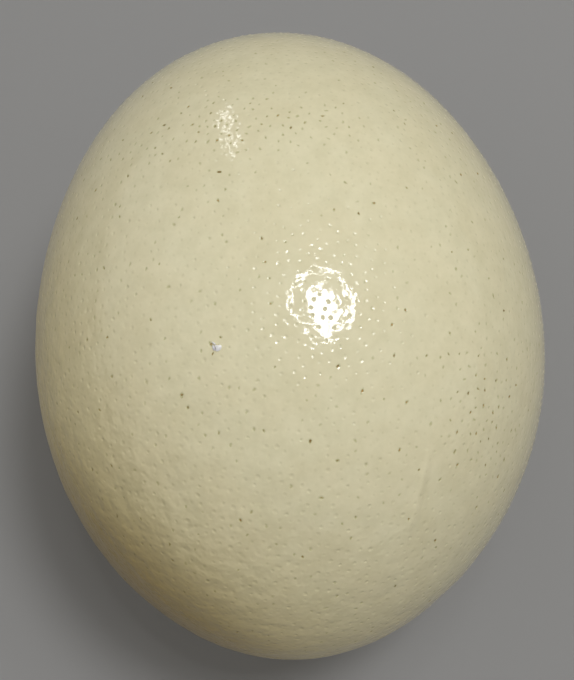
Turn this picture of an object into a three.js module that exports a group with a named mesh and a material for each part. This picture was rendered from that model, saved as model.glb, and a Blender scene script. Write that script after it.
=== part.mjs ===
// An ostrich egg, lying on its side: one thick, glossy, slightly uneven shell, pitted with pores.
//
// Millimetres, +Z up, with the long axis along Y. The origin is on the surface that the egg rests on, under
// the middle of its outline. The egg grew as one piece, so it is one solid.
//
// The faces are laid out on a unit sphere of directions, where the convex hull of any points joins them into
// even triangles, and every direction is then moved out to its point on the shell.

import * as THREE from 'three';
import { ConvexHull } from 'three/addons/math/ConvexHull.js';
import { mergeVertices } from 'three/addons/utils/BufferGeometryUtils.js';

// Driving dimensions.
const EGG_LENGTH = 155;
const EGG_BREADTH = 124;
const REST_FLAT_DEPTH = 0.7; // the underside is flat this far in, where the egg rests

// How the girth departs from an ellipsoid's, as shares of it. t runs from -1 at the -Y end to 1 at the other.
const TAPER = -0.031; // times t: the half towards +Y is the slimmer one
const BELLY = -0.016; // times t squared: both ends draw in a little
const BLUNTNESS = 0.063; // times t cubed: the +Y end is the blunter one

// Seen from above, slow swells run round the shell, and they die away over its top and its underside.
const SWELLS = 3;
const SWELL_HEIGHT = 0.36;

// Pores: each is a small six-sided pit with its point inwards.
const PORE_SIDES = 6;
const PORE_DEPTH_SHARE = 0.4; // of the width of its mouth
const PORE_WIDTH_MIN = 1.0;
const PORE_WIDTH_MAX = 1.5;
const PORE_SPACING = 2.3; // from centre to centre, at least

// Pores that stand out, by their place seen from above.
const LARGE_PORES = [
  { x: 40, y: -28.5, width: 2.0 },
  { x: 43.5, y: -23, width: 2.0 },
  { x: 40.5, y: -25.5, width: 1.7 },
  { x: 36.5, y: -26.5, width: 1.5 },
  { x: 33, y: -38, width: 1.7 },
  { x: 33.5, y: -40.5, width: 1.7 },
  { x: 29.5, y: -43.5, width: 1.5 },
  { x: 28.5, y: -55, width: 1.8 },
  { x: 21, y: -38, width: 1.6 },
  { x: 23, y: -29, width: 1.6 },
  { x: 9.5, y: -22, width: 2.0 },
  { x: 14, y: -27, width: 1.8 },
  { x: 3, y: -36, width: 1.8 },
  { x: 4.5, y: -46.5, width: 1.6 },
  { x: -12, y: -49.5, width: 1.6 },
  { x: -6, y: -33.5, width: 1.4 },
  { x: -15, y: -33, width: 1.4 },
  { x: -22, y: -25, width: 1.8 },
  { x: -21, y: -27.5, width: 1.5 },
  { x: -37, y: -18.5, width: 1.5 },
  { x: -38, y: 5, width: 1.5 },
  { x: 24, y: -11, width: 1.6 },
  { x: 21, y: -14, width: 1.6 },
  { x: 21, y: -20, width: 1.6 },
  { x: 19.5, y: 12, width: 1.6 },
  { x: 16, y: 9.5, width: 1.6 },
  { x: -4, y: 4.5, width: 1.6 },
  { x: -12, y: 21, width: 1.9 },
  { x: -24, y: 37, width: 1.8 },
  { x: -17.5, y: 35, width: 1.6 },
  { x: 10.5, y: 34, width: 1.6 },
];

// Patches where pores crowd, seen from above: the middle of each, its half widths and how many it holds.
const PORE_PATCHES = [
  { name: 'shoulder band', x: -6, y: 33, halfX: 23, halfY: 8, pores: 44 },
  { name: 'flank cluster', x: 40, y: -27, halfX: 8, halfY: 14, pores: 20 },
];
const SCATTERED_PORES = 170; // all round the rest of the shell
const PORE_SEED = 20;

// How finely the shell is divided.
const SHELL_DETAIL = 16; // cuts of each edge of an icosahedron
const REST_RIM_POINTS = 28;
const REST_RIM_PASSES = 4; // each pass sets the rim closer to the level of the flat
const MARGIN = 1.2; // between the evenly spread points and the edge of a pore or of the flat

const HALF_LENGTH = EGG_LENGTH / 2;
const HALF_BREADTH = EGG_BREADTH / 2;
const REST_LEVEL = REST_FLAT_DEPTH - HALF_BREADTH; // the flat's height, from the middle of the egg

// The shell's radius round its long axis at t is this times the square root of 1 - t squared.
function girthAt(t) {
  return HALF_BREADTH * (1 + TAPER * t + BELLY * t ** 2 + BLUNTNESS * t ** 3);
}

// The point of the shell for a direction on the unit sphere.
function shellPoint(direction) {
  const girth = girthAt(direction.y);
  const outline = Math.hypot(direction.x, direction.y);
  const bearing = Math.atan2(direction.y, direction.x);
  const swell = SWELL_HEIGHT * outline ** SWELLS * Math.cos(SWELLS * bearing);
  const point = new THREE.Vector3(girth * direction.x, HALF_LENGTH * direction.y, girth * direction.z);
  return point.addScaledVector(direction, swell);
}

// The direction whose point of the shell is nearest to a point just off it.
function directionOf(point) {
  const t = point.y / HALF_LENGTH;
  const girth = girthAt(t);
  return new THREE.Vector3(point.x / girth, t, point.z / girth).normalize();
}

// The direction whose point lies at this place of the upper side, seen from above.
function directionAbove(x, y) {
  const t = y / HALF_LENGTH;
  const across = x / girthAt(t);
  return new THREE.Vector3(across, t, Math.sqrt(1 - t ** 2 - across ** 2));
}

// The way that the shell faces at a point, near enough to set a pore square to it.
function outwardAt(point) {
  const flattening = (HALF_BREADTH / HALF_LENGTH) ** 2;
  return new THREE.Vector3(point.x, point.y * flattening, point.z).normalize();
}

// The same run of numbers from 0 to 1 each time.
function seededRandom(seed) {
  let state = seed;
  return () => {
    state = (state * 1664525 + 1013904223) % 2 ** 32;
    return state / 2 ** 32;
  };
}

// Each pore's place on the shell and its width: the ones that stand out, then the patches, then the rest.
function placePores() {
  const random = seededRandom(PORE_SEED);
  const between = (low, high) => low + (high - low) * random();
  const pores = LARGE_PORES.map(({ x, y, width }) => ({ point: shellPoint(directionAbove(x, y)), width }));

  const fill = (count, pickDirection) => {
    const target = pores.length + count;
    while (pores.length < target) {
      const point = shellPoint(pickDirection());
      const isClear = pores.every((pore) => pore.point.distanceTo(point) > PORE_SPACING);
      if (isClear && point.z > REST_LEVEL + PORE_SPACING) {
        pores.push({ point, width: between(PORE_WIDTH_MIN, PORE_WIDTH_MAX) });
      }
    }
  };

  for (const patch of PORE_PATCHES) {
    fill(patch.pores, () => {
      const reach = Math.sqrt(random());
      const turn = between(0, 2 * Math.PI);
      const x = patch.x + patch.halfX * reach * Math.cos(turn);
      const y = patch.y + patch.halfY * reach * Math.sin(turn);
      return directionAbove(x, y);
    });
  }
  fill(SCATTERED_PORES, () => {
    const height = between(-1, 1);
    const turn = between(0, 2 * Math.PI);
    const level = Math.sqrt(1 - height ** 2);
    return new THREE.Vector3(level * Math.cos(turn), level * Math.sin(turn), height);
  });
  return pores;
}

// A pore's directions: the corners of its mouth, on the shell, and its bottom, set in from it.
function poreCorners({ point, width }) {
  const outward = outwardAt(point);
  const across = new THREE.Vector3(0, 1, 0).cross(outward).normalize();
  const along = outward.clone().cross(across);
  const corners = [];
  for (let i = 0; i < PORE_SIDES; i += 1) {
    const turn = (2 * Math.PI * i) / PORE_SIDES;
    const corner = point.clone();
    corner.addScaledVector(across, (width / 2) * Math.cos(turn));
    corner.addScaledVector(along, (width / 2) * Math.sin(turn));
    corners.push({ direction: directionOf(corner), depth: 0 });
  }
  corners.push({ direction: directionOf(point), depth: width * PORE_DEPTH_SHARE });
  return corners;
}

// Directions round the edge of the rest flat, where the shell is just as low as the flat.
function restRim() {
  const corners = [];
  for (let i = 0; i < REST_RIM_POINTS; i += 1) {
    const bearing = (2 * Math.PI * i) / REST_RIM_POINTS;
    let t = 0;
    let outline = 0;
    for (let pass = 0; pass < REST_RIM_PASSES; pass += 1) {
      outline = Math.sqrt(1 - (REST_LEVEL / girthAt(t)) ** 2);
      t = outline * Math.sin(bearing);
    }
    const direction = new THREE.Vector3(outline * Math.cos(bearing), t, -Math.sqrt(1 - outline ** 2));
    corners.push({ direction, depth: 0 });
  }
  return corners;
}

// Directions spread evenly over the sphere, apart from those too near to a pore or to the edge of the flat.
function evenCorners(pores, rim) {
  const sphere = new THREE.IcosahedronGeometry(1, SHELL_DETAIL);
  sphere.deleteAttribute('normal');
  sphere.deleteAttribute('uv');
  const positions = mergeVertices(sphere).getAttribute('position');
  const rimPoints = rim.map(({ direction }) => shellPoint(direction));
  const corners = [];
  for (let i = 0; i < positions.count; i += 1) {
    const direction = new THREE.Vector3().fromBufferAttribute(positions, i).normalize();
    const point = shellPoint(direction);
    const nearPore = pores.some((pore) => pore.point.distanceTo(point) < pore.width / 2 + MARGIN);
    const nearRim = rimPoints.some((rimPoint) => rimPoint.distanceTo(point) < MARGIN);
    if (!nearPore && !nearRim) {
      corners.push({ direction, depth: 0 });
    }
  }
  return corners;
}

// Joins directions into triangles, each a list of three places in the list of directions.
function joinDirections(directions) {
  const places = new Map(directions.map((direction, i) => [direction, i]));
  return new ConvexHull().setFromPoints(directions).faces.map((face) => {
    const { edge } = face;
    return [edge, edge.next, edge.next.next].map((side) => places.get(side.head().point));
  });
}

// The shell's surface, standing on Z = 0 with the middle of its outline over the origin.
function eggGeometry() {
  const pores = placePores();
  const rim = restRim();
  const corners = [...pores.flatMap(poreCorners), ...rim, ...evenCorners(pores, rim)];
  const triangles = joinDirections(corners.map(({ direction }) => direction));
  const positions = corners.flatMap(({ direction, depth }) => {
    const point = shellPoint(direction);
    point.addScaledVector(outwardAt(point), -depth);
    return [point.x, point.y, Math.max(point.z, REST_LEVEL)];
  });

  const geometry = new THREE.BufferGeometry();
  geometry.setAttribute('position', new THREE.Float32BufferAttribute(positions, 3));
  geometry.setIndex(triangles.flat());
  geometry.computeVertexNormals();
  geometry.computeBoundingBox();
  const { min, max } = geometry.boundingBox;
  return geometry.translate(-(min.x + max.x) / 2, -(min.y + max.y) / 2, -min.z);
}

const shellMaterial = new THREE.MeshStandardMaterial({ color: 0xd2caa9, roughness: 0.25, metalness: 0 });
const egg = new THREE.Mesh(eggGeometry(), shellMaterial);
egg.name = 'egg';

const object = new THREE.Group();
object.add(egg);

export default object;
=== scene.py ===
"""An ostrich egg on a plain floor: its dimpled, glossy shell with stained pores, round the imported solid.

Metres, +Z up, in the frame's own axes: the long axis runs along Y. The shell is worked out as in the
solid, from directions on a unit sphere, and set on the solid's own box. Its largest pores are read from the
solid. Between them it has thousands of shallow dimples. Each is a fan of faces, whose bowl the material
rounds off.
"""

import math
import random

import bmesh
import bpy
import numpy as np
from mathutils import Matrix, Vector
from mathutils.geometry import delaunay_2d_cdt


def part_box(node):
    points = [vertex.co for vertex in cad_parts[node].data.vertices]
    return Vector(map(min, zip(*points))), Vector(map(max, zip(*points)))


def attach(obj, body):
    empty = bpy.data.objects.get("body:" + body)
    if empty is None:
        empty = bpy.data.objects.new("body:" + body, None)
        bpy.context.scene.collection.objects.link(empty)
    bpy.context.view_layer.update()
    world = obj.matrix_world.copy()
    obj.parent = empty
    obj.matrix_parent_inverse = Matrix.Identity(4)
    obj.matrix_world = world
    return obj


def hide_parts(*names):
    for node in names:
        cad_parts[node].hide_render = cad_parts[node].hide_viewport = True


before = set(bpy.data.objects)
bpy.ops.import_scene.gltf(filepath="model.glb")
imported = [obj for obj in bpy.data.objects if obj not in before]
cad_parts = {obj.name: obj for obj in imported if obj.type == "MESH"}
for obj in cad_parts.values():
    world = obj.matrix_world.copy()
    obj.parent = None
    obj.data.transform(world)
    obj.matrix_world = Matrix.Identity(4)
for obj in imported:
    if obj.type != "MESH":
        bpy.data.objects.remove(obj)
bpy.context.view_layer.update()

MM = 0.001

# The shell, as in the solid. t runs from -1 at the -Y end to 1 at the +Y end.
HALF_LENGTH = 77.5 * MM
HALF_BREADTH = 62 * MM
TAPER = -0.031
BELLY = -0.016
BLUNTNESS = 0.063
SWELLS = 3
SWELL_HEIGHT = 0.36 * MM
REST_FLAT_DEPTH = 0.7 * MM
REST_LEVEL = REST_FLAT_DEPTH - HALF_BREADTH

# The box of the smooth shell is found from random directions.
BOX_SAMPLES = 200000
BOX_SEED = 1

# Which way the shell faces is found from its points a small step off on four sides.
NORMAL_STEP = 1e-4
OFF_AXIS = (0.3, 0.7, 0.1)  # helps to make a vector that isn't in line with a direction

# The slow waves of the shell: (wavelength, average slope) of each size of wave.
WAVES = [(13 * MM, 0.010), (6.5 * MM, 0.013), (4.2 * MM, 0.010)]
WAVES_OF_A_SIZE = 24
WAVELENGTH_SPREAD = (0.7, 1.4)

# The waviness of a place multiplies the height of its waves. It is least on the calm sides.
WAVINESS_LEAST = 0.35
WAVY_SIDES = [((-0.62, -0.62, 0.48), 2.05), ((0.3, -0.93, 0.2), 0.85)]  # (which way, how much more)
WAVY_SIDE_FALLOFF = 8

# A soft ridge on the shell, by its course in millimetres seen from above.
RIDGE = [(27.4, -38.0), (25.7, -43.5), (24.5, -47.1), (23.8, -49.9), (22.2, -53.4)]
RIDGE_HEIGHT = 0.25 * MM
RIDGE_HALF_WIDTH = 0.9 * MM

# The pores of the solid: vertices that lie deep enough, and well above the flat that the egg rests on.
PORE_DEPTH_LEAST = 0.25 * MM
PORE_LEVEL_LEAST = 3 * REST_FLAT_DEPTH - HALF_BREADTH
PORE_WIDTH_TO_DEPTH = 2.5  # as in the solid
PORE_BOWL_SHARE = 0.42  # the radius of the bowl that shows a pore, as a share of the pore's width
PORE_BOWL_DEPTH_SHARE = 0.05
SAME_POINT_DIGITS = 7  # of metres

# Dimples.
DIMPLE_COUNT = 10200
DIMPLE_GAP = 1.72 * MM  # least distance between the middles of two
DIMPLE_BATCH = 4000  # random middles drawn at a time
DIMPLE_RADIUS = (0.5 * MM, 0.745 * MM)
DIMPLE_DEPTH = 0.052 * MM  # of the middling one
DIMPLE_DEPTH_SPREAD = 0.4
DIMPLE_DEPTH_RANGE = (0.018 * MM, 0.11 * MM)
DIMPLE_SIDES = 6
FAN_REACH = 1 / math.cos(math.pi / DIMPLE_SIDES)  # the corners of a fan whose sides just clear the bowl
FAN_UNEVENNESS = 0.16  # how far a fan's corners stray in and out, as a share of its radius
OUTSIDE_BOWLS = 2.0  # the place in the unit bowl that stands for being in none
GRAIN_WAY = (0.15, 1.0, 0.0)  # the stains of the dimples are longest roughly this way
GRAIN_SPREAD = 0.6  # how far their directions spread, in radians
SPACER_GAP = 0.9 * MM  # least distance from a dimple's middle to a point between dimples
SPACER_GAP_MOST = 4 * SPACER_GAP  # only across the hole at the south pole is it more
DELAUNAY_TOLERANCE = 1e-13
SHELL_SEED = 7

# Dimples given one by one, in millimetres seen from above: some stained as strongly as can be, and some
# small and deep ones on the lit side.
STAINS_BY_HAND = [(-15.5, -16.0), (-15.1, -17.9), (-13.4, -14.9), (22.4, -51.1)]
DEEP_DIMPLES = [
    (5.5, -8.9), (6.8, -7.9), (8.5, -9.4), (4.9, -10.5), (5.1, -12.1), (7.7, -10.9), (7.1, -12.6),
    (8.7, -12.7), (6.2, -14.5), (9.3, -14.8), (2.0, -5.7), (4.0, -5.2), (5.9, -2.4), (1.8, -13.7),
    (4.6, -16.2), (8.7, -4.9), (10.9, -5.7), (2.0, -16.9), (7.5, -17.2), (10.2, -18.3), (12.5, -12.4),
    (12.2, -8.8),
]
DEEP_DIMPLE_RADIUS = 0.57 * MM
DEEP_DIMPLE_DEPTH = 0.12 * MM

# Coarse patches, by their places seen from above, where more of the dimples are stained and the shell is
# rougher: (x, y, half width, half height). Each is at its coarsest over the inner third of its reach.
COARSE_PATCHES = [(-6 * MM, 33 * MM, 29 * MM, 11 * MM), (39 * MM, -28 * MM, 12 * MM, 19 * MM)]
PATCH_STEEPNESS = 1.5

# How strong the stains are, 0 to 1, and how many dimples have them.
STAINED_SHARE = 0.13  # of the dimples outside the patches
STAINED_SHARE_MOST = 0.8  # in the middle of a patch
BROWN_SHARE = 0.14  # of the stained ones
UNSTAINED = 0.06
OLIVE_STAIN = (0.25, 0.47)
COARSE_STAIN = 0.24  # how much stronger an olive stain is in the middle of a patch
BROWN_STAIN = (0.5, 0.9)
PORE_STAIN = (0.32, 1.0)  # of pores from the first of these widths to the second:
PORE_STAIN_WIDTHS = (1.0 * MM, 1.8 * MM)

# The shape of a stain: an oval with ragged edges.
SPECK_HALF_SIZES = (0.92, 0.58)  # as shares of the dimple's radius
SPECK_EDGE = 1.1
SPECK_RAGGED_SIZE = 0.5 * MM
SPECK_RAGGEDNESS = 1.2
OLIVE_GAIN = 1.5
BROWN_FROM = (0.5, 0.8)  # the stain's strengths where it starts to be brown and where it is all brown

# On the +X side faint grooves run along Y. Stains are stronger in them than between them.
STREAK_SHAPE = (1.0, 0.1, 1.0)  # each groove is ten times as long as broad
STREAK_SIZE = 1.9 * MM
STREAK_HEIGHT = 0.07  # in millimetres
STREAK_GROOVES = (0.42, 0.56)  # the noise in the grooves and between them
STREAK_STAINS = (0.5, -0.4)  # how much stronger the stains are in the grooves and between them
FLANK_X = (22 * MM, 40 * MM)  # the grooves begin at the first of these and are full from the second on
FLANK_Z = (72 * MM, 92 * MM)

# The material's relief, in millimetres. A pair (a, b) stands for a times the waviness plus b.
BOWL_DEPTH = (0.2, -1.42)  # times the dimple's own depth
BOWL_POWERS = (0.6, 1.0)  # of the squared reach: a bowl is pointed in a calm place and round in a wavy one
BOWL_WAVINESS = (0.5, 1.5)  # of a calm place and of a wavy one
BROWN_DEPTH = -0.02
SMALL_LUMP_SIZE = 1.6 * MM
SMALL_LUMP_HEIGHT = (0.065, -0.015)
COARSE_LUMP_HEIGHT = 0.13  # what the middle of a patch adds to it
LARGE_LUMP_SIZE = 2.3 * MM
LARGE_LUMP_HEIGHT = (0.132, -0.025)
FINE_GRAIN_SIZE = 0.9 * MM
FINE_GRAIN_HEIGHT = 0.003
PRICK_SIZE = 0.3 * MM
PRICK_DEPTH = -0.004
PRICKS_FROM = (0.62, 0.75)  # the noise where a pin prick begins and where it is full
PRICKED_GRAIN = (0.45, 0.6)  # the pricks lie only where the fine grain is this high

# The shell's colours and gloss.
IVORY = (0.727, 0.684, 0.478, 1)
IVORY_DULL = (0.649, 0.609, 0.408, 1)
IVORY_FLUSH = (1.0, 0.965, 0.93, 1)
MOTTLE_SIZE = 4.5 * MM
MOTTLE_RANGE = (0.15, 0.85)
FLUSH_SIZE = 11 * MM
FLUSH_RANGE = (0.35, 0.65)
FLUSH_SHARE = 0.3
SPECK_OLIVE = (0.58, 0.60, 0.42, 1)
PORE_BROWN = (0.23, 0.15, 0.052, 1)
PORE_TAWNY = (0.40, 0.25, 0.08, 1)
TAWNY_SIZE = 3 * MM
TAWNY_RANGE = (0.42, 0.58)
GLOSS_ROUGHNESS = 0.05
BOWL_ROUGHNESS = 0.18  # what the middle of a bowl adds to it, where there is no painted shade
BOWL_CORE = (0.5, 0.85)  # the middle of a bowl ends between these shares of its radius
PAINTED_SHADE_ROUGHNESS = 0.25  # what the area of the painted shade adds to it: the gloss is duller there
PAINTED_SHADE_CLEARANCE = -3.0  # a third of the full painted shade is enough to hide how rough the bowls are
SHELL_IOR = 1.5

# Painted shade: the shell's colour is made yellower and darker on the low left side and towards the bottom,
# and a brown painted shadow lies over part of that.
PAINTED_SHADE = (0.80, 0.71, 0.50, 1)
PAINTED_SHADE_WAY = (-0.734, -0.509, -0.45)
PAINTED_SHADE_RANGE = (-0.2, 0.97)  # how far that way it begins and how far it is full
PAINTED_SHADE_SHARE = 0.93
PAINTED_SHADE_MOST = 0.9
LOW_PAINTED_SHADE_SHARE = 0.21  # at the height of the egg's middle, from none at the top
LOW_PAINTED_SHADE_REACH = 1.1  # below that height it grows only to this many times as much
# The brown painted shadow along the lower left edge of the shell.
PAINTED_SHADOW = (0.46, 0.37, 0.18, 1)
PAINTED_SHADOW_WAY = (-0.62, -0.784, -0.02)
PAINTED_SHADOW_RANGE = (0.7, 1.05)

# A pale crumb stuck to the shell: where it lies in millimetres seen from above, and its flakes. Each has
# its outline from the crumb's middle and how high it stands, in millimetres, and which of the two colours.
CRUMB_PLACE = (-14.2, -16.9)
CRUMB_SUNK = 0.15 * MM
CRUMB_PROFILE = [(1.0, 0.3), (0.85, 0.75), (0.45, 1.0)]  # (share of the outline, of the height), upwards
CRUMB_COLOURS = [
    ("crumb_white", (0.94, 0.93, 0.93, 1), (0.80, 0.79, 0.81, 1)),
    ("crumb_grey", (0.76, 0.75, 0.79, 1), (0.60, 0.59, 0.63, 1)),
]
CRUMB_GRAIN_SIZE = 0.5 * MM
CRUMB_GRAIN_RANGE = (0.3, 0.65)
CRUMB_GRAIN_HEIGHT = 0.12 * MM
CRUMB_ROUGHNESS = 0.6
CRUMB_FLAKES = [
    ([(-0.45, 0.42), (-0.08, 0.58), (0.3, 0.46), (0.66, 0.6), (0.92, 0.42), (1.0, 0.12), (0.86, -0.26),
      (0.56, -0.55), (0.12, -0.72), (-0.27, -0.68), (-0.33, -0.4), (-0.18, -0.13),
      (-0.33, 0.12)], 0.45, 0),
    ([(-0.96, 0.26), (-0.9, 0.58), (-0.64, 0.54), (-0.5, 0.36), (-0.42, 0.07), (-0.28, -0.15),
      (-0.4, -0.4), (-0.54, -0.55), (-0.8, -0.33), (-0.92, -0.03)], 0.3, 1),
    ([(-0.96, 1.2), (-0.82, 1.35), (-0.4, 0.98), (-0.17, 0.7), (-0.35, 0.6), (-0.68, 0.86)], 0.4, 0),
]

# The camera looks down on the egg, with its top edge towards +Y and a slight roll.
FRAME_WIDTH_PX = 574
FRAME_HEIGHT_PX = 680
EGG_CENTRE_PX = (287.9, 338.5)
FOCAL_PX = 1202
CAMERA_DISTANCE = 0.300
CAMERA_ELEVATION = math.radians(75)
CAMERA_ROLL = math.radians(-3.75)
CAMERA_CLIP_START = 0.01
SENSOR_WIDTH_MM = 36

# The lamp over the egg has a bright middle and a bright rim, which show in the gloss. It is placed from
# the spot of the shell that mirrors it to the camera, as seen from the middle of the egg.
LAMP_MIRRORED_AT = Vector((7.1, -11.4, 61.2)) * MM
LAMP_DIRECTION = Vector((0.240, 0.145, 0.957)).normalized()
LAMP_DISTANCE = 0.9
LAMP_SIZE = (0.445, 0.34)
LAMP_WATTS = 6.0
LAMP_STRENGTH = 1.8
LAMP_MIDDLE_OFFSET = (0.1, -0.18)
LAMP_MIDDLE_SHARE = (0.47, 0.64)  # how much of the lamp's width and of its height the middle takes up
LAMP_MIDDLE_EDGE = (0.97, 1.03)  # of that share: the edge is soft between these
LAMP_RIM_EDGE = (0.86, 0.90)  # the rim begins between these shares of the lamp
LAMP_RIM_BRIGHTNESS = 0.8  # as a share of the middle's

# A tall narrow light stands beyond the +Y end. Its lower and upper ends, from the middle of the egg:
TALL_LIGHT_ENDS = (Vector((-0.214, 0.766, 0.212)), Vector((-0.206, 0.650, 0.478)))
TALL_LIGHT_WIDTH = 0.022
TALL_LIGHT_WATTS = 0.165

# The sky is dim all round, and brighter in some directions.
SKY_COLOUR = (1.0, 0.97, 0.92, 1)
PLAIN_SKY = 0.08
SKY_SIDES = [
    ((1, 0, 0), 0.37),
    ((-1, 0, 0), 0.475),
    ((0, 1, 0), 0.085),
    ((0, -1, 0), 0.065),
    ((0, 0, 1), 0.15),
]

# The floor is plain and grey, and reaches far beyond every view.
FLOOR_HALF_SIZE = 20.0
FLOOR_COLOUR = (0.28, 0.28, 0.28, 1)
FLOOR_ROUGHNESS = 0.9
FLOOR_SPECULAR = 0.2

UNFOLDED_HALF = 0.49  # half the side of the shell's square in the unit square of its UV map


# ---------------------------------------------------------------- the shell's shape


def unit(vectors):
    return vectors / np.linalg.norm(vectors, axis=1, keepdims=True)


def girth_at(t):
    """The shell's radius round its long axis at t is this times the square root of 1 - t squared."""
    return HALF_BREADTH * (1 + TAPER * t + BELLY * t**2 + BLUNTNESS * t**3)


def shell_points(directions):
    """The points of the smooth shell for directions on the unit sphere, from the middle of the egg."""
    x, y, z = directions.T
    girth = girth_at(y)
    outline = np.hypot(x, y)
    swell = SWELL_HEIGHT * outline**SWELLS * np.cos(SWELLS * np.arctan2(y, x))
    return np.column_stack([girth * x, HALF_LENGTH * y, girth * z]) + directions * swell[:, None]


def directions_of(points):
    """The directions whose points of the shell are nearest to points just off it."""
    t = points[:, 1] / HALF_LENGTH
    girth = girth_at(t)
    return unit(np.column_stack([points[:, 0] / girth, t, points[:, 2] / girth]))


def directions_above(plan):
    """Directions whose points lie at these places of the upper side, in millimetres seen from above."""
    x, y = np.array(plan).T * MM
    t = y / HALF_LENGTH
    across = x / girth_at(t)
    return np.column_stack([across, t, np.sqrt(1 - t**2 - across**2)])


def tangents_at(directions):
    """Two unit vectors square to each direction and to each other."""
    across = unit(np.cross(directions, np.roll(directions, 1, axis=1) + OFF_AXIS))
    return across, np.cross(directions, across)


def shell_normals(directions, shape):
    """Which way the surface faces that shape() gives for the directions."""

    def slope(way):
        ahead = shape(unit(directions + NORMAL_STEP * way))
        behind = shape(unit(directions - NORMAL_STEP * way))
        return ahead - behind

    across, along = tangents_at(directions)
    return unit(np.cross(slope(across), slope(along)))


def frame_middle():
    """Where the middle of the smooth shell lies in the frame: its box is set on the solid's."""
    low, high = (np.array(corner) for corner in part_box("egg"))
    spread = shell_points(unit(np.random.default_rng(BOX_SEED).normal(size=(BOX_SAMPLES, 3))))
    middle = (low + high) / 2 - (spread.min(0) + spread.max(0)) / 2
    middle[2] = low[2] - REST_LEVEL
    return Vector(middle)


def wave_set(rng):
    """(wave vector, phase, height) of every slow wave. Those of a size add up to its slope on average."""
    waves = []
    for wavelength, slope in WAVES:
        for _ in range(WAVES_OF_A_SIZE):
            heading = unit(rng.normal(size=(1, 3)))[0]
            number = 2 * math.pi / (wavelength * rng.uniform(*WAVELENGTH_SPREAD))
            height = slope / number * math.sqrt(3 / WAVES_OF_A_SIZE)
            waves.append((heading * number, rng.uniform(0, 2 * math.pi), height))
    return waves


def waviness(directions):
    """How high the waves are at places of the shell, as a share of their plain height."""
    level = np.full(len(directions), WAVINESS_LEAST)
    for way, more in WAVY_SIDES:
        share = (1 + directions @ unit(np.array([way]))[0]) / 2
        level += more * share**WAVY_SIDE_FALLOFF
    return level


def ridge_heights(points):
    """How high the soft ridge stands at points of the shell. It dies away at both ends."""
    course = shell_points(directions_above(RIDGE))
    height = np.zeros(len(points))
    lengths = np.linalg.norm(course[1:] - course[:-1], axis=1)
    whole = lengths.sum()
    behind = 0
    for start, end, length in zip(course[:-1], course[1:], lengths):
        way = (end - start) / length
        passed = np.clip((points - start) @ way, 0, length)
        aside = np.linalg.norm(points - start - passed[:, None] * way, axis=1)
        share = np.clip((behind + passed) / whole, 0, 1)
        fullness = np.sqrt(np.sin(math.pi * share).clip(0))
        height = np.maximum(height, RIDGE_HEIGHT * fullness * np.exp(-((aside / RIDGE_HALF_WIDTH) ** 2)))
        behind += length
    return height


def uneven_points(directions, waves):
    """The points of the shell with its waves and its ridge, but without its dimples."""
    points = shell_points(directions)
    height = np.zeros(len(points))
    for number, phase, size in waves:
        height += size * np.sin(points @ number + phase)
    height *= waviness(directions)
    height += ridge_heights(points)
    return points + directions * height[:, None]


def coarseness(points):
    """How coarse the shell is at its points: 1 in the middle of a patch, and 0 outside them."""
    coarse = np.zeros(len(points))
    for x, y, half_x, half_y in COARSE_PATCHES:
        reach = np.hypot((points[:, 0] - x) / half_x, (points[:, 1] - y) / half_y)
        inside = np.clip(PATCH_STEEPNESS * (1 - reach), 0, 1) * (points[:, 2] > 0)
        coarse = np.maximum(coarse, inside)
    return coarse


# ---------------------------------------------------------------- dimples and pores


def pores_of_solid(offset):
    """Middles and widths of the solid's pores: its vertices that lie well inside the smooth shell."""
    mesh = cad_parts["egg"].data
    points = np.zeros(len(mesh.vertices) * 3)
    mesh.vertices.foreach_get("co", points)
    points = np.unique(np.round(points.reshape(-1, 3), SAME_POINT_DIGITS), axis=0) - offset
    directions = directions_of(points)
    depths = np.linalg.norm(shell_points(directions), axis=1) - np.linalg.norm(points, axis=1)
    deep = (depths > PORE_DEPTH_LEAST) & (points[:, 2] > PORE_LEVEL_LEAST)
    return directions[deep], depths[deep] * PORE_WIDTH_TO_DEPTH


def scatter_dimples(first):
    """Directions of the dimples' middles: first, and then random ones that keep their distance."""
    rng = random.Random(SHELL_SEED)
    grid = {}
    kept = []

    def cell_of(point):
        return tuple(math.floor(c / DIMPLE_GAP) for c in point)

    def add(direction, point):
        grid.setdefault(cell_of(point), []).append(point)
        kept.append(direction)

    def is_clear(point):
        i, j, k = cell_of(point)
        for cell in ((i + a, j + b, k + c) for a in (-1, 0, 1) for b in (-1, 0, 1) for c in (-1, 0, 1)):
            for other in grid.get(cell, ()):
                if math.dist(other, point) < DIMPLE_GAP:
                    return False
        return True

    for direction, point in zip(first, shell_points(first)):
        add(direction, tuple(point))
    while len(kept) < DIMPLE_COUNT:
        batch = unit(np.array([[rng.gauss(0, 1) for _ in range(3)] for _ in range(DIMPLE_BATCH)]))
        for direction, point in zip(batch, shell_points(batch)):
            if len(kept) < DIMPLE_COUNT and is_clear(tuple(point)):
                add(direction, tuple(point))
    return np.array(kept)


def stain_strengths(rng, middles, pore_widths):
    """How stained each dimple is, 0 to 1. The solid's pores come first, and the wide ones are brownest."""
    coarse = coarseness(shell_points(middles))
    share = STAINED_SHARE + (STAINED_SHARE_MOST - STAINED_SHARE) * coarse
    chance = rng.random(len(middles))
    olive = rng.uniform(*OLIVE_STAIN, len(middles)) + COARSE_STAIN * coarse
    brown = rng.uniform(*BROWN_STAIN, len(middles))
    stain = np.where(chance < share, olive, UNSTAINED)
    stain = np.where(chance < share * BROWN_SHARE, brown, stain)
    stain[: len(pore_widths)] = np.interp(pore_widths, PORE_STAIN_WIDTHS, PORE_STAIN)
    return stain


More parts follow.
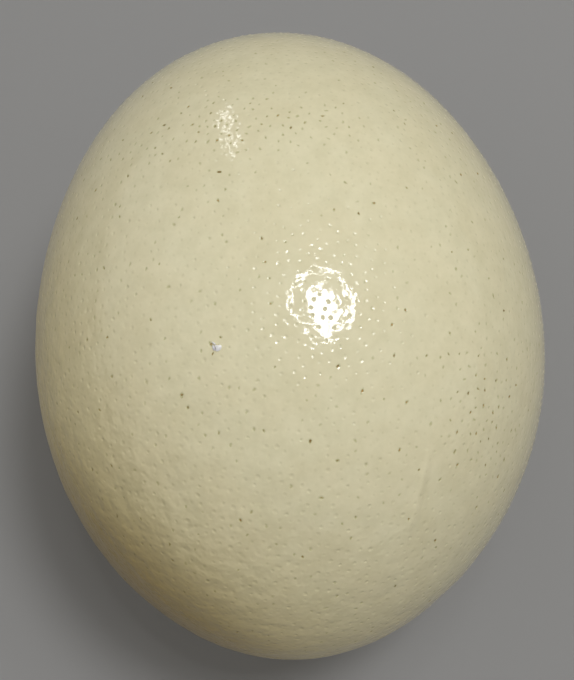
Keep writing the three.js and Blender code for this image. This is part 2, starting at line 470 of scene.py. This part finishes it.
def place_dimples(rng, offset):
    """Middles, radii, depths and stains of the dimples: the solid's pores, those listed, and the rest."""
    pores, pore_widths = pores_of_solid(offset)
    by_hand = directions_above(STAINS_BY_HAND + DEEP_DIMPLES)
    middles = scatter_dimples(np.concatenate([pores, by_hand]))
    stains = stain_strengths(rng, middles, pore_widths)
    radii = rng.uniform(*DIMPLE_RADIUS, len(middles))
    depths = DIMPLE_DEPTH * np.exp(DIMPLE_DEPTH_SPREAD * rng.normal(size=len(middles)))
    depths = np.clip(depths, *DIMPLE_DEPTH_RANGE)

    radii[: len(pores)] = np.clip(PORE_BOWL_SHARE * pore_widths, 0, DIMPLE_RADIUS[1])
    depths[: len(pores)] = PORE_BOWL_DEPTH_SHARE * pore_widths
    deep_start = len(pores) + len(STAINS_BY_HAND)
    stains[len(pores) : deep_start] = 1
    deep = slice(deep_start, deep_start + len(DEEP_DIMPLES))
    radii[deep] = DEEP_DIMPLE_RADIUS
    depths[deep] = DEEP_DIMPLE_DEPTH
    stains[deep] = 0
    return middles, radii, depths, stains


def rings(rng, middles, radii):
    """Directions round the mouth of each dimple, DIMPLE_SIDES each, and their places in a unit bowl.

    The x axis of a bowl lies roughly along the grain of the shell."""
    points = shell_points(middles)
    normals = shell_normals(middles, shell_points)
    across = unit(np.cross(normals, GRAIN_WAY))
    along = np.cross(across, normals)
    turns = rng.uniform(0, 2 * math.pi, len(middles))
    leans = rng.normal(0, GRAIN_SPREAD, len(middles))
    corners = []
    places = []
    for side in range(DIMPLE_SIDES):
        angle = turns + 2 * math.pi * side / DIMPLE_SIDES
        stray = rng.uniform(1 - FAN_UNEVENNESS, 1 + FAN_UNEVENNESS, len(middles))
        reach = (FAN_REACH * radii * stray)[:, None]
        step = along * np.cos(angle)[:, None] + across * np.sin(angle)[:, None]
        corners.append(directions_of(points + step * reach))
        places.append(FAN_REACH * np.column_stack([np.cos(angle - leans), np.sin(angle - leans)]))
    return np.stack(corners, axis=1).reshape(-1, 3), np.stack(places, axis=1).reshape(-1, 2)


def joined(directions):
    """Triangles that join directions all over the sphere, apart from the small hole at the south pole.

    Seen from the south pole the sphere spreads out flat with its circles still circles, so the flat
    Delaunay triangles are the sphere's."""
    spread = directions[:, :2] / (1 + directions[:, 2:])
    flat = [Vector(p) for p in spread.tolist()]
    return np.array(delaunay_2d_cdt(flat, [], [], 0, DELAUNAY_TOLERANCE)[2])


def spacers(middles):
    """Directions between the dimples: the corners that three of them are equally far from."""
    corners = middles[joined(middles)]
    centres = unit(np.cross(corners[:, 1] - corners[:, 0], corners[:, 2] - corners[:, 0]))
    centres *= np.sign(np.sum(centres * corners[:, 0], axis=1, keepdims=True))
    far = np.linalg.norm(shell_points(centres) - shell_points(corners[:, 0]), axis=1)
    return centres[(far > SPACER_GAP) & (far < SPACER_GAP_MOST)]


# ---------------------------------------------------------------- the shell's mesh


def add_object(name, data):
    thing = bpy.data.objects.new(name, data)
    bpy.context.scene.collection.objects.link(thing)
    return thing


def closed_mesh(name, points, triangles):
    """A mesh of triangles whose holes are filled."""
    mesh = bpy.data.meshes.new(name)
    mesh.from_pydata(points.tolist(), [], triangles.tolist())
    bm = bmesh.new()
    bm.from_mesh(mesh)
    hole = [edge for edge in bm.edges if edge.is_boundary]
    filled = bmesh.ops.holes_fill(bm, edges=hole)["faces"]
    bmesh.ops.triangulate(bm, faces=filled)
    bmesh.ops.recalc_face_normals(bm, faces=bm.faces)
    bm.to_mesh(mesh)
    bm.free()
    return mesh


def triangles_of(mesh):
    """The three vertices of each triangle of a mesh."""
    corners = np.zeros(len(mesh.loops), dtype=np.int32)
    mesh.loops.foreach_get("vertex_index", corners)
    return corners.reshape(-1, 3)


def set_corner_vectors(mesh, name, vectors):
    attribute = mesh.attributes.new(name, "FLOAT_VECTOR", "CORNER")
    attribute.data.foreach_set("vector", vectors.astype(np.float32).ravel())


def describe_bowls(mesh, directions, ring_places, depths, stains):
    """Tells the material about each corner of the mesh, which has the middles first and then the rings.

    bowl_place is the corner's place in the bowl of its dimple, and how coarse the shell is there.
    bowl_facts is the depth of that bowl in millimetres, its stain, and how wavy the shell is there."""
    count = len(depths)
    ring_end = count + count * DIMPLE_SIDES
    owner = np.full(len(directions), -1)
    owner[:count] = np.arange(count)
    owner[count:ring_end] = np.repeat(np.arange(count), DIMPLE_SIDES)
    place = np.full((len(directions), 2), OUTSIDE_BOWLS)
    place[:count] = 0
    place[count:ring_end] = ring_places

    triangles = triangles_of(mesh)
    owners = owner[triangles]
    in_fan = (owners == owners[:, :1]).all(axis=1) & (triangles < count).any(axis=1)
    places = np.where(in_fan[:, None, None], place[triangles], OUTSIDE_BOWLS)
    coarse = coarseness(shell_points(directions))[triangles]
    set_corner_vectors(mesh, "bowl_place", np.dstack([places, coarse]))

    facts = np.where(in_fan[:, None], np.column_stack([depths / MM, stains])[owners[:, 0]], 0)
    facts = np.repeat(facts[:, None, :], 3, axis=1)
    set_corner_vectors(mesh, "bowl_facts", np.dstack([facts, waviness(directions)[triangles]]))


def unfold(directions, triangles):
    """A place in the unit square for each corner of each triangle: the octahedral map, cut at its edge."""
    middle = unit(directions[triangles].mean(axis=1))
    side = np.where(middle[:, :2] < 0, -1, 1)[:, None, :]
    corners = directions[triangles]
    corners = corners / np.abs(corners).sum(axis=2, keepdims=True)
    under = (1 - corners[:, :, 1::-1] * side[:, :, ::-1]) * side
    places = np.where(corners[:, :, 2:] < 0, under, corners[:, :, :2])
    return 0.5 + UNFOLDED_HALF * places


def build_shell(middle):
    """The egg as one mesh, with the middle of the smooth shell at the point given."""
    offset = np.array(middle)
    rng = np.random.default_rng(SHELL_SEED)
    waves = wave_set(rng)
    middles, radii, depths, stains = place_dimples(rng, offset)
    ring_corners, ring_places = rings(rng, middles, radii)
    directions = np.concatenate([middles, ring_corners, spacers(middles)])

    def shape(given):
        return uneven_points(given, waves)

    normals = shell_normals(directions, shape)
    points = shape(directions)
    points[: len(middles)] -= normals[: len(middles)] * depths[:, None]
    points[:, 2] = np.maximum(points[:, 2], REST_LEVEL)

    mesh = closed_mesh("egg_shell", points + offset, joined(directions))
    describe_bowls(mesh, directions, ring_places, depths, stains)
    unfolded = mesh.uv_layers.new(name="OFBake")
    unfolded.data.foreach_set("uv", unfold(directions, triangles_of(mesh)).astype(np.float32).ravel())
    mesh.shade_smooth()
    mesh.normals_split_custom_set_from_vertices(normals.tolist())
    return add_object("egg_shell", mesh)


# ---------------------------------------------------------------- the pale crumb on the shell


def add_flake(bm, point_at, outline, rise, shade):
    """A low lump over an outline, closed below. point_at() gives the point for a spot and a level."""
    flat = np.array(outline) * MM
    centre = flat.mean(axis=0)
    levels = [(1.0, -CRUMB_SUNK)] + [(share, level * rise * MM) for share, level in CRUMB_PROFILE]
    rows = []
    for share, level in levels:
        spots = centre + (flat - centre) * share
        rows.append([bm.verts.new(point_at(spot, level)) for spot in spots])
    faces = [bm.faces.new(rows[-1]), bm.faces.new(list(reversed(rows[0])))]
    for lower, upper in zip(rows[:-1], rows[1:]):
        for i in range(len(outline)):
            j = (i + 1) % len(outline)
            faces.append(bm.faces.new((lower[i], lower[j], upper[j], upper[i])))
    for face in faces:
        face.material_index = shade


def build_crumb(middle):
    """A pale crumb of three thin flakes, let a little into the shell so that it doesn't float."""
    direction = directions_above([CRUMB_PLACE])
    origin = shell_points(direction)[0]
    outward = shell_normals(direction, shell_points)[0]
    along = unit(np.cross([outward], [1, 0, 0]))[0]
    across = np.cross(along, outward)

    def point_at(spot, level):
        return middle + Vector(origin + spot[0] * across + spot[1] * along + outward * level)

    bm = bmesh.new()
    for outline, rise, shade in CRUMB_FLAKES:
        add_flake(bm, point_at, outline, rise, shade)
    bmesh.ops.recalc_face_normals(bm, faces=bm.faces)
    mesh = bpy.data.meshes.new("pale_crumb")
    bm.to_mesh(mesh)
    bm.free()
    for name, light, dark in CRUMB_COLOURS:
        mesh.materials.append(crumb_material(name, light, dark))
    return add_object("pale_crumb", mesh)


# ---------------------------------------------------------------- materials


class Graph:
    """Adds nodes to a node tree. Most calls return an output socket."""

    def __init__(self, tree):
        self.tree = tree

    def node(self, kind, **settings):
        node = self.tree.nodes.new(kind)
        for name, value in settings.items():
            setattr(node, name, value)
        return node

    def feed(self, socket, value):
        """Links a socket to the value, or sets it where the value is a plain one."""
        if isinstance(value, bpy.types.NodeSocket):
            self.tree.links.new(value, socket)
        else:
            socket.default_value = value

    def math(self, operation, *values, clamp=False):
        node = self.node("ShaderNodeMath", operation=operation, use_clamp=clamp)
        for socket, value in zip(node.inputs, values):
            self.feed(socket, value)
        return node.outputs[0]

    def line(self, value, slope, start):
        """The value times the slope, plus the start."""
        return self.math("MULTIPLY_ADD", value, slope, start)

    def square(self, x, y):
        return self.math("ADD", self.math("POWER", x, 2.0), self.math("POWER", y, 2.0))

    def ramp(self, value, low, high, to_low=0.0, to_high=1.0):
        node = self.node("ShaderNodeMapRange", interpolation_type="SMOOTHSTEP")
        for socket, item in zip(node.inputs, (value, low, high, to_low, to_high)):
            self.feed(socket, item)
        return node.outputs[0]

    def mix(self, share, first, second, kind="MIX"):
        """Two colours mixed. Sockets 6 and 7 and output 2 are the Mix node's ones for colours."""
        node = self.node("ShaderNodeMix", data_type="RGBA", blend_type=kind)
        self.feed(node.inputs["Factor"], share)
        self.feed(node.inputs[6], first)
        self.feed(node.inputs[7], second)
        return node.outputs[2]

    def vector(self, operation, first, second):
        node = self.node("ShaderNodeVectorMath", operation=operation)
        self.feed(node.inputs[0], first)
        self.feed(node.inputs[1], second)
        return node.outputs["Value" if operation == "DOT_PRODUCT" else "Vector"]

    def parts(self, vector):
        node = self.node("ShaderNodeSeparateXYZ")
        self.feed(node.inputs[0], vector)
        return node.outputs

    def attribute(self, name):
        return self.node("ShaderNodeAttribute", attribute_name=name).outputs["Vector"]

    def noise(self, place, size, detail, roughness=0.5):
        """Noise from 0 to 1 whose features are about size across."""
        node = self.node("ShaderNodeTexNoise")
        self.feed(node.inputs["Vector"], place)
        self.feed(node.inputs["Scale"], 1 / size)
        self.feed(node.inputs["Detail"], detail)
        self.feed(node.inputs["Roughness"], roughness)
        return node.outputs["Fac"]

    def bump(self, height, distance):
        node = self.node("ShaderNodeBump")
        self.feed(node.inputs["Strength"], 1.0)
        self.feed(node.inputs["Distance"], distance)
        self.feed(node.inputs["Height"], height)
        return node.outputs["Normal"]


def new_material(name):
    """A material and its shader."""
    material = bpy.data.materials.new(name)
    material.use_nodes = True
    return material, material.node_tree.nodes["Principled BSDF"]


def crumb_material(name, light, dark):
    material, shader = new_material(name)
    graph = Graph(material.node_tree)
    place = graph.node("ShaderNodeTexCoord").outputs["Object"]
    grain = graph.noise(place, CRUMB_GRAIN_SIZE, detail=3.0, roughness=0.6)
    grain = graph.ramp(grain, *CRUMB_GRAIN_RANGE)
    graph.feed(shader.inputs["Base Color"], graph.mix(grain, dark, light))
    graph.feed(shader.inputs["Normal"], graph.bump(grain, CRUMB_GRAIN_HEIGHT))
    graph.feed(shader.inputs["Roughness"], CRUMB_ROUGHNESS)
    return material


class ShellGraph(Graph):
    """The nodes of the shell's material, and what they know about a spot: see describe_bowls()."""

    def __init__(self, tree):
        super().__init__(tree)
        self.place = self.node("ShaderNodeTexCoord").outputs["Object"]
        self.bowl_x, self.bowl_y, self.coarse = self.parts(self.attribute("bowl_place"))
        self.depth, self.stain, self.wavy = self.parts(self.attribute("bowl_facts"))
        self.bowl_square = self.square(self.bowl_x, self.bowl_y)
        stretched = self.vector("MULTIPLY", self.place, STREAK_SHAPE)
        self.streaks = self.noise(stretched, STREAK_SIZE, detail=1.0)
        x, _, z = self.parts(self.place)
        self.flank = self.math("MULTIPLY", self.ramp(x, *FLANK_X), self.ramp(z, *FLANK_Z))

    def by_waviness(self, slope_and_start):
        return self.line(self.wavy, *slope_and_start)

    def stained(self):
        """How stained the spot is: a stain is a ragged oval in the middle of its dimple."""
        long_way = self.math("DIVIDE", self.bowl_x, SPECK_HALF_SIZES[0])
        short_way = self.math("DIVIDE", self.bowl_y, SPECK_HALF_SIZES[1])
        reach = self.math("SQRT", self.square(long_way, short_way))
        ragged = self.noise(self.place, SPECK_RAGGED_SIZE, detail=1.0)
        reach = self.line(self.math("SUBTRACT", ragged, 0.5), SPECK_RAGGEDNESS, reach)
        stained = self.math("MULTIPLY", self.ramp(reach, 0.0, SPECK_EDGE, 1.0, 0.0), self.stain)
        gain = self.math("MULTIPLY", self.flank, self.ramp(self.streaks, *STREAK_GROOVES, *STREAK_STAINS))
        return self.line(stained, gain, stained)

    def bowl(self):
        """How deep the spot lies in its bowl: 1 in the middle, and 0 from the mouth outwards."""
        power = self.ramp(self.wavy, *BOWL_WAVINESS, *BOWL_POWERS)
        pointed = self.math("POWER", self.bowl_square, power)
        return self.math("POWER", self.math("SUBTRACT", 1.0, pointed, clamp=True), 2.0)

    def relief(self, brown):
        """How high the spot lies, in millimetres: the bowls, the brown pores, lumps, grooves and pricks."""
        small_lumps = self.noise(self.place, SMALL_LUMP_SIZE, detail=1.0)
        small_height = self.line(self.coarse, COARSE_LUMP_HEIGHT, self.by_waviness(SMALL_LUMP_HEIGHT))
        large_lumps = self.noise(self.place, LARGE_LUMP_SIZE, detail=1.0)
        grain = self.noise(self.place, FINE_GRAIN_SIZE, detail=2.0)
        pricks = self.ramp(self.noise(self.place, PRICK_SIZE, detail=1.0), *PRICKS_FROM)
        layers = [
            (brown, BROWN_DEPTH),
            (small_lumps, small_height),
            (large_lumps, self.by_waviness(LARGE_LUMP_HEIGHT)),
            (grain, FINE_GRAIN_HEIGHT),
            (self.math("MULTIPLY", pricks, self.ramp(grain, *PRICKED_GRAIN)), PRICK_DEPTH),
            (self.streaks, self.math("MULTIPLY", self.flank, STREAK_HEIGHT)),
        ]
        bowl = self.math("MULTIPLY", self.bowl(), self.depth)
        relief = self.math("MULTIPLY", bowl, self.by_waviness(BOWL_DEPTH))
        for layer, height in layers:
            relief = self.line(layer, height, relief)
        return relief

    def painted_shade_shares(self, centre):
        """How much painted warm shade lies on the spot, 0 to 1, and how much brown painted shadow."""
        halves = (HALF_BREADTH, HALF_LENGTH, HALF_BREADTH)
        way = self.vector("DIVIDE", self.vector("SUBTRACT", self.place, centre), halves)
        _, _, up = self.parts(way)
        low = self.math("MINIMUM", self.math("SUBTRACT", 1.0, up), LOW_PAINTED_SHADE_REACH)
        # Painted warm shade towards the low left side, and below that towards the bottom.
        share = self.ramp(self.vector("DOT_PRODUCT", way, PAINTED_SHADE_WAY), *PAINTED_SHADE_RANGE, 0.0, PAINTED_SHADE_SHARE)
        share = self.line(low, LOW_PAINTED_SHADE_SHARE, share)
        # The brown painted shadow, along the lower left edge.
        deep = self.ramp(self.vector("DOT_PRODUCT", way, PAINTED_SHADOW_WAY), *PAINTED_SHADOW_RANGE)
        return self.math("MINIMUM", share, PAINTED_SHADE_MOST), deep

    def colour(self, painted_shade, deep, stained, brown):
        """Ivory with soft mottling, the painted warm shade and brown painted shadow, and the stains: olive
        where weak, and brown where strong.
        """
        mottle = self.noise(self.place, MOTTLE_SIZE, detail=3.0, roughness=0.7)
        mottle = self.ramp(mottle, *MOTTLE_RANGE)
        flush = self.noise(self.place, FLUSH_SIZE, detail=2.0)
        flush = self.ramp(flush, *FLUSH_RANGE, 0.0, FLUSH_SHARE)
        olive = self.math("MULTIPLY", stained, OLIVE_GAIN, clamp=True)
        colour = self.mix(mottle, IVORY_DULL, IVORY)
        # Multiplied in: the flush, the painted warm shade, the brown painted shadow and the olive stains.
        for share, tint in ((flush, IVORY_FLUSH), (painted_shade, PAINTED_SHADE), (deep, PAINTED_SHADOW), (olive, SPECK_OLIVE)):
            colour = self.mix(share, colour, tint, "MULTIPLY")
        tawny = self.ramp(self.noise(self.place, TAWNY_SIZE, detail=0.0), *TAWNY_RANGE)
        return self.mix(brown, colour, self.mix(tawny, PORE_BROWN, PORE_TAWNY))

    def roughness(self, painted_shade):
        """The gloss is duller in the middle of the bowls, and where the painted shade lies."""
        core = self.ramp(self.math("SQRT", self.bowl_square), *BOWL_CORE, 1.0, 0.0)
        clear = self.math("MULTIPLY_ADD", painted_shade, PAINTED_SHADE_CLEARANCE, 1.0, clamp=True)
        roughness = self.line(self.math("MULTIPLY", core, clear), BOWL_ROUGHNESS, GLOSS_ROUGHNESS)
        return self.line(painted_shade, PAINTED_SHADE_ROUGHNESS, roughness)


def shell_material(centre):
    material, shader = new_material("eggshell")
    graph = ShellGraph(material.node_tree)
    stained = graph.stained()
    brown = graph.ramp(stained, *BROWN_FROM)
    # Painted warm shade and brown painted shadow: where they lie on the shell.
    painted_shade, deep = graph.painted_shade_shares(centre)
    graph.feed(shader.inputs["Base Color"], graph.colour(painted_shade, deep, stained, brown))
    graph.feed(shader.inputs["Normal"], graph.bump(graph.relief(brown), MM))
    graph.feed(shader.inputs["Roughness"], graph.roughness(painted_shade))
    graph.feed(shader.inputs["IOR"], SHELL_IOR)
    return material


# ---------------------------------------------------------------- the stage


def add_floor():
    half = FLOOR_HALF_SIZE
    corners = [(-half, -half, 0), (half, -half, 0), (half, half, 0), (-half, half, 0)]
    mesh = bpy.data.meshes.new("floor")
    mesh.from_pydata(corners, [], [(0, 1, 2, 3)])
    material, shader = new_material("floor_grey")
    shader.inputs["Base Color"].default_value = FLOOR_COLOUR
    shader.inputs["Roughness"].default_value = FLOOR_ROUGHNESS
    shader.inputs["Specular IOR Level"].default_value = FLOOR_SPECULAR
    mesh.materials.append(material)
    add_object("floor", mesh)


def add_camera(centre):
    back = Vector((0, -math.cos(CAMERA_ELEVATION), math.sin(CAMERA_ELEVATION)))
    level_right = Vector((1, 0, 0))
    level_up = back.cross(level_right)
    right = level_right * math.cos(CAMERA_ROLL) + level_up * math.sin(CAMERA_ROLL)
    up = back.cross(right)
    metres_per_px = CAMERA_DISTANCE / FOCAL_PX
    aside = (FRAME_WIDTH_PX / 2 - EGG_CENTRE_PX[0]) * metres_per_px
    above = (EGG_CENTRE_PX[1] - FRAME_HEIGHT_PX / 2) * metres_per_px

    data = bpy.data.cameras.new("camera")
    data.sensor_width = SENSOR_WIDTH_MM
    data.lens = FOCAL_PX / FRAME_HEIGHT_PX * SENSOR_WIDTH_MM
    data.clip_start = CAMERA_CLIP_START
    camera = add_object("camera", data)
    camera.matrix_world = Matrix((right, up, back)).transposed().to_4x4()
    camera.location = centre + back * CAMERA_DISTANCE + right * aside + up * above
    bpy.context.scene.camera = camera


def add_area(name, shape, place, target, along, size, watts):
    """An area light that faces the target, with its height along the direction that is given."""
    data = bpy.data.lights.new(name, "AREA")
    data.shape = shape
    data.size, data.size_y = size
    data.energy = watts
    light = add_object(name, data)
    away = (place - target).normalized()
    right = along.cross(away).normalized()
    light.matrix_world = Matrix((right, away.cross(right), away)).transposed().to_4x4()
    light.location = place
    return data


def add_lamp(centre):
    target = centre + LAMP_MIRRORED_AT
    place = target + LAMP_DIRECTION * LAMP_DISTANCE
    lamp = add_area("lamp", "ELLIPSE", place, target, Vector((0, 1, 0)), LAMP_SIZE, LAMP_WATTS)
    lamp.use_nodes = True
    graph = Graph(lamp.node_tree)
    u, v, _ = graph.parts(graph.node("ShaderNodeTexCoord").outputs["UV"])
    x = graph.line(u, 2.0, -1.0)
    y = graph.line(v, 2.0, -1.0)

    def reach(offset, size):
        """How far out a spot of the lamp lies in an oval: 1 at its edge."""
        across = graph.math("DIVIDE", graph.math("SUBTRACT", x, offset[0]), size[0])
        up = graph.math("DIVIDE", graph.math("SUBTRACT", y, offset[1]), size[1])
        return graph.math("SQRT", graph.square(across, up))

    middle = graph.ramp(reach(LAMP_MIDDLE_OFFSET, LAMP_MIDDLE_SHARE), *LAMP_MIDDLE_EDGE, 1.0, 0.0)
    rim = graph.ramp(reach((0, 0), (1, 1)), *LAMP_RIM_EDGE, 0.0, LAMP_RIM_BRIGHTNESS)
    strength = graph.math("MULTIPLY", graph.math("MAXIMUM", middle, rim), LAMP_STRENGTH)
    graph.feed(lamp.node_tree.nodes["Emission"].inputs["Strength"], strength)


def add_tall_light(centre):
    low_end, high_end = TALL_LIGHT_ENDS
    size = (TALL_LIGHT_WIDTH, (high_end - low_end).length)
    place = centre + (low_end + high_end) / 2
    add_area("tall_light", "RECTANGLE", place, centre, high_end - low_end, size, TALL_LIGHT_WATTS)


def add_world():
    world = bpy.data.worlds.new("studio")
    world.use_nodes = True
    background = world.node_tree.nodes["Background"]
    background.inputs["Color"].default_value = SKY_COLOUR
    graph = Graph(world.node_tree)
    way = graph.node("ShaderNodeTexCoord").outputs["Generated"]
    strength = PLAIN_SKY
    for side, brightness in SKY_SIDES:
        facing = graph.math("MAXIMUM", graph.vector("DOT_PRODUCT", way, side), 0.0)
        strength = graph.line(facing, brightness, strength)
    graph.feed(background.inputs["Strength"], strength)
    bpy.context.scene.world = world


egg_centre = frame_middle()
shell = build_shell(egg_centre)
shell.data.materials.append(shell_material(egg_centre))
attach(shell, "root")
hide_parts("egg")

crumb = build_crumb(egg_centre)
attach(crumb, "root")

add_floor()
add_camera(egg_centre)
add_lamp(egg_centre)
add_tall_light(egg_centre)
add_world()
bpy.context.scene.view_settings.view_transform = "Standard"
